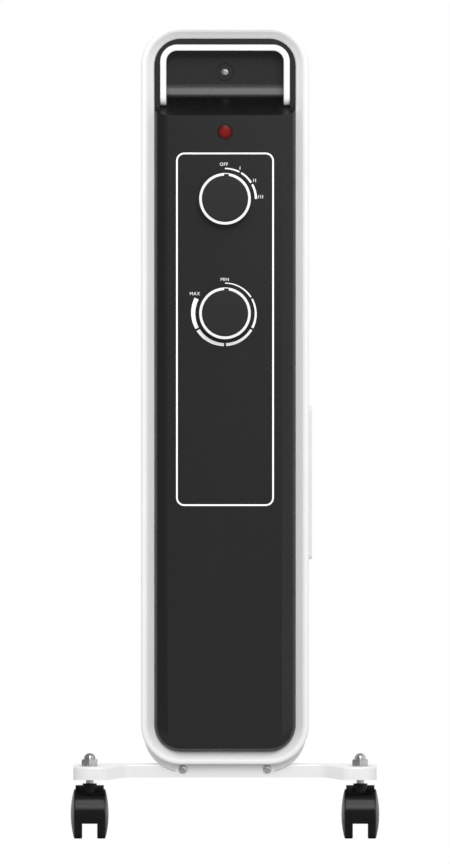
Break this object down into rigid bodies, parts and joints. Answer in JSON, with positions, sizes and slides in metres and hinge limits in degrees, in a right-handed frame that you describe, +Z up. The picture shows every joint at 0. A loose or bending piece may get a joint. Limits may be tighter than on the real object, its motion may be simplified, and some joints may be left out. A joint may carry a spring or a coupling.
{
  "type": "oil filled radiator heater",
  "caption": "Upright oil filled radiator heater with pressed fins, a black control panel with power and thermostat knobs, a hand pocket at its head and twin-wheel swivel casters.",
  "frame": {"origin": "on the floor, in the middle of the heater's width and length", "axes": "+Z up, +X to the right of someone who faces the control panel, +Y from the control panel back to the last fin"},
  "size_m": [0.2428, 0.3034, 0.64],
  "materials": {
    "white_enamel": "glossy baked enamel",
    "white_plastic": "glossy moulded",
    "black_plastic": "fine satin grain",
    "black_tread": "satin nylon",
    "red_lens": "clear tinted, glossy",
    "grey_plastic": "moulded",
    "zinc_steel": "zinc plated",
    "bright_chrome": "nickel plated, bright",
    "brass": "plain"
  },
  "bodies": {
    "heater": {"back_plate": "white_enamel", "bracket_screws": "zinc_steel", "bushing_nuts": "zinc_steel", "caster_stems": "zinc_steel", "control_cover": "black_plastic", "cord_gland": "black_plastic", "dome_nuts": "bright_chrome", "element_plug": "zinc_steel", "element_terminals": "brass", "filler_plug": "white_enamel", "fin_1": "white_enamel", "fin_2": "white_enamel", "fin_3": "white_enamel", "fin_4": "white_enamel", "fin_5": "white_enamel", "front_bracket": "white_enamel", "front_frame": "white_plastic", "handle_strip": "white_plastic", "heating_tubes": "zinc_steel", "housing": "white_enamel", "lamp_body": "grey_plastic", "lamp_lens": "red_lens", "pocket_screw": "zinc_steel", "pocket_strap": "zinc_steel", "power_switch": "grey_plastic", "rear_bracket": "white_enamel", "side_plate": "white_plastic", "terminal_block": "grey_plastic", "thermal_cutout": "grey_plastic", "thermostat": "grey_plastic", "tip_over_switch": "grey_plastic", "top_nut": "zinc_steel"},
    "power_dial": {"power_knob": "black_plastic", "power_knob_ring": "white_plastic", "power_shaft": "zinc_steel"},
    "thermostat_dial": {"thermostat_knob": "black_plastic", "thermostat_knob_ring": "white_plastic", "thermostat_shaft": "zinc_steel"},
    "caster_front_left": {"hood_front_left": "black_plastic", "axle_front_left": "zinc_steel"},
    "roller_front_left_a": {"wheel_front_left_a": "black_tread"},
    "roller_front_left_b": {"wheel_front_left_b": "black_tread"},
    "caster_front_right": {"hood_front_right": "black_plastic", "axle_front_right": "zinc_steel"},
    "roller_front_right_a": {"wheel_front_right_a": "black_tread"},
    "roller_front_right_b": {"wheel_front_right_b": "black_tread"},
    "caster_rear_left": {"hood_rear_left": "black_plastic", "axle_rear_left": "zinc_steel"},
    "roller_rear_left_a": {"wheel_rear_left_a": "black_tread"},
    "roller_rear_left_b": {"wheel_rear_left_b": "black_tread"},
    "caster_rear_right": {"hood_rear_right": "black_plastic", "axle_rear_right": "zinc_steel"},
    "roller_rear_right_a": {"wheel_rear_right_a": "black_tread"},
    "roller_rear_right_b": {"wheel_rear_right_b": "black_tread"}
  },
  "joints": [
    {"name": "power_turn", "type": "hinge", "parent": "heater", "child": "power_dial", "pos_m": [0, -0.13867, 0.5035], "axis": [0, 1, 0], "range_deg": [0, 90]},
    {"name": "thermostat_turn", "type": "hinge", "parent": "heater", "child": "thermostat_dial", "pos_m": [0, -0.13867, 0.4134], "axis": [0, 1, 0], "range_deg": [0, 298]},
    {"name": "swivel_front_left", "type": "hinge", "parent": "heater", "child": "caster_front_left", "pos_m": [-0.1065, -0.12957, 0.0275], "axis": [0, 0, 1], "continuous": true},
    {"name": "roll_front_left_a", "type": "hinge", "parent": "caster_front_left", "child": "roller_front_left_a", "pos_m": [-0.1065, -0.11958, 0.0195], "axis": [1, 0, 0], "continuous": true},
    {"name": "roll_front_left_b", "type": "hinge", "parent": "caster_front_left", "child": "roller_front_left_b", "pos_m": [-0.1065, -0.11958, 0.0195], "axis": [1, 0, 0], "continuous": true},
    {"name": "swivel_front_right", "type": "hinge", "parent": "heater", "child": "caster_front_right", "pos_m": [0.1065, -0.12957, 0.0275], "axis": [0, 0, 1], "continuous": true},
    {"name": "roll_front_right_a", "type": "hinge", "parent": "caster_front_right", "child": "roller_front_right_a", "pos_m": [0.1065, -0.11958, 0.0195], "axis": [1, 0, 0], "continuous": true},
    {"name": "roll_front_right_b", "type": "hinge", "parent": "caster_front_right", "child": "roller_front_right_b", "pos_m": [0.1065, -0.11958, 0.0195], "axis": [1, 0, 0], "continuous": true},
    {"name": "swivel_rear_left", "type": "hinge", "parent": "heater", "child": "caster_rear_left", "pos_m": [-0.1065, 0.11943, 0.0275], "axis": [0, 0, 1], "continuous": true},
    {"name": "roll_rear_left_a", "type": "hinge", "parent": "caster_rear_left", "child": "roller_rear_left_a", "pos_m": [-0.1065, 0.12943, 0.0195], "axis": [1, 0, 0], "continuous": true},
    {"name": "roll_rear_left_b", "type": "hinge", "parent": "caster_rear_left", "child": "roller_rear_left_b", "pos_m": [-0.1065, 0.12943, 0.0195], "axis": [1, 0, 0], "continuous": true},
    {"name": "swivel_rear_right", "type": "hinge", "parent": "heater", "child": "caster_rear_right", "pos_m": [0.1065, 0.11943, 0.0275], "axis": [0, 0, 1], "continuous": true},
    {"name": "roll_rear_right_a", "type": "hinge", "parent": "caster_rear_right", "child": "roller_rear_right_a", "pos_m": [0.1065, 0.12943, 0.0195], "axis": [1, 0, 0], "continuous": true},
    {"name": "roll_rear_right_b", "type": "hinge", "parent": "caster_rear_right", "child": "roller_rear_right_b", "pos_m": [0.1065, 0.12943, 0.0195], "axis": [1, 0, 0], "continuous": true}
  ]
}
